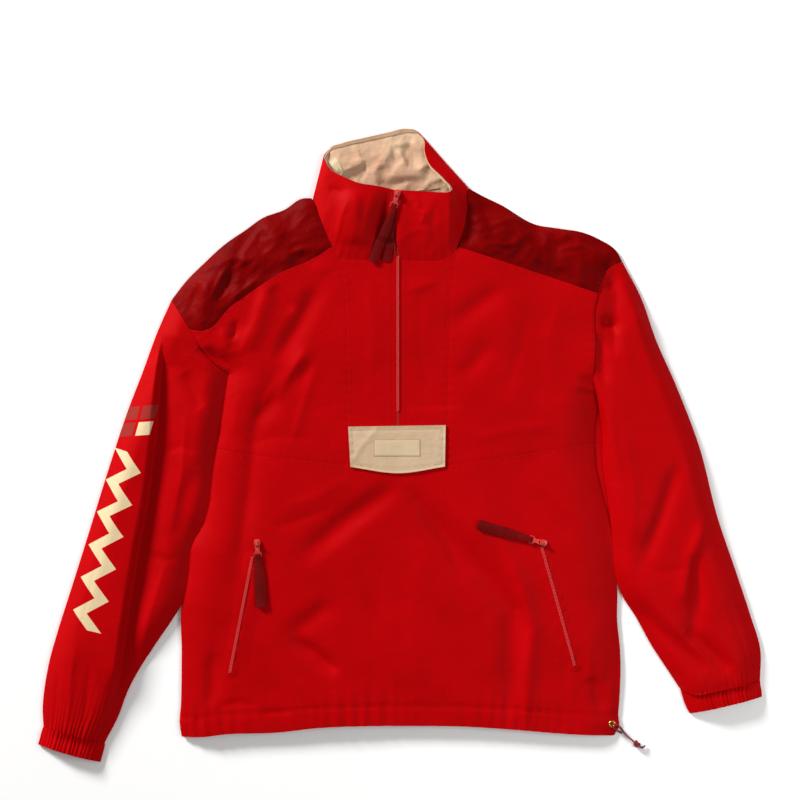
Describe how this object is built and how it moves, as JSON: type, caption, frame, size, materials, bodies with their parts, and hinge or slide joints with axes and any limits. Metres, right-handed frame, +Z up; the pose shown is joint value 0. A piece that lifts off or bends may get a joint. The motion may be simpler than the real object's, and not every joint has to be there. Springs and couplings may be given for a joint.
{
  "type": "anorak pullover",
  "caption": "Half-zip anorak pullover laid flat on its back: stand collar open, long sleeves, tan collar lining and chest patch, zip pockets with webbing pulls, hem drawcord",
  "frame": {"origin": "bottom centre of the box round the garment as it lies, without the drawcord", "axes": "+X across the hem to the right as seen from above, +Y towards the collar, +Z up from the surface it lies on"},
  "size_m": [0.94, 0.822, 0.0347],
  "materials": {
    "red_nylon": "woven nylon shell, low sheen",
    "maroon_nylon": "woven nylon, glossier than the shell",
    "tan_cotton": "matt cotton twill",
    "label_cloth": "matt woven label, bare",
    "zip_coil": "moulded nylon coil on woven tape",
    "coral_enamel": "enamelled die-cast zip metal",
    "webbing": "flat woven webbing",
    "drawcord": "round braided cord",
    "brass": "polished"
  },
  "bodies": {
    "garment": {"back_panel": "red_nylon", "front_lower": "red_nylon", "chest_left": "red_nylon", "chest_right": "red_nylon", "placket_left": "red_nylon", "placket_right": "red_nylon", "sleeve_left_upper": "red_nylon", "sleeve_left_lower": "red_nylon", "sleeve_right_upper": "red_nylon", "sleeve_right_lower": "red_nylon", "cuff_left": "red_nylon", "cuff_right": "red_nylon", "collar_outer": "red_nylon", "yoke_left": "maroon_nylon", "yoke_right": "maroon_nylon", "collar_lining": "tan_cotton", "chest_patch": "tan_cotton", "patch_label": "label_cloth", "neck_zip": "zip_coil", "pocket_zip_left": "zip_coil", "pocket_zip_right": "zip_coil", "slider_neck": "coral_enamel", "slider_left_pocket": "coral_enamel", "slider_right_pocket": "coral_enamel", "hem_eyelet": "brass", "hem_cord": "drawcord", "hem_cord_return": "drawcord", "cord_knot": "drawcord"},
    "neck_pull": {"pull_neck": "coral_enamel", "tail_neck": "webbing"},
    "left_pocket_pull": {"pull_left_pocket": "coral_enamel", "tail_left_pocket": "webbing"},
    "right_pocket_pull": {"pull_right_pocket": "coral_enamel", "tail_right_pocket": "webbing"}
  },
  "joints": [
    {"name": "neck_pull_hinge", "type": "hinge", "parent": "garment", "child": "neck_pull", "pos_m": [-0.004, 0.323, 0.03182], "axis": [-0.969, 0.247, 0], "range_deg": [0, 120]},
    {"name": "left_pocket_pull_hinge", "type": "hinge", "parent": "garment", "child": "left_pocket_pull", "pos_m": [-0.1845, -0.1275, 0.01898], "axis": [-0.9977, -0.0674, 0], "range_deg": [0, 120]},
    {"name": "right_pocket_pull_hinge", "type": "hinge", "parent": "garment", "child": "right_pocket_pull", "pos_m": [0.1835, -0.1255, 0.01899], "axis": [0.2616, 0.9652, 0], "range_deg": [0, 120]}
  ]
}
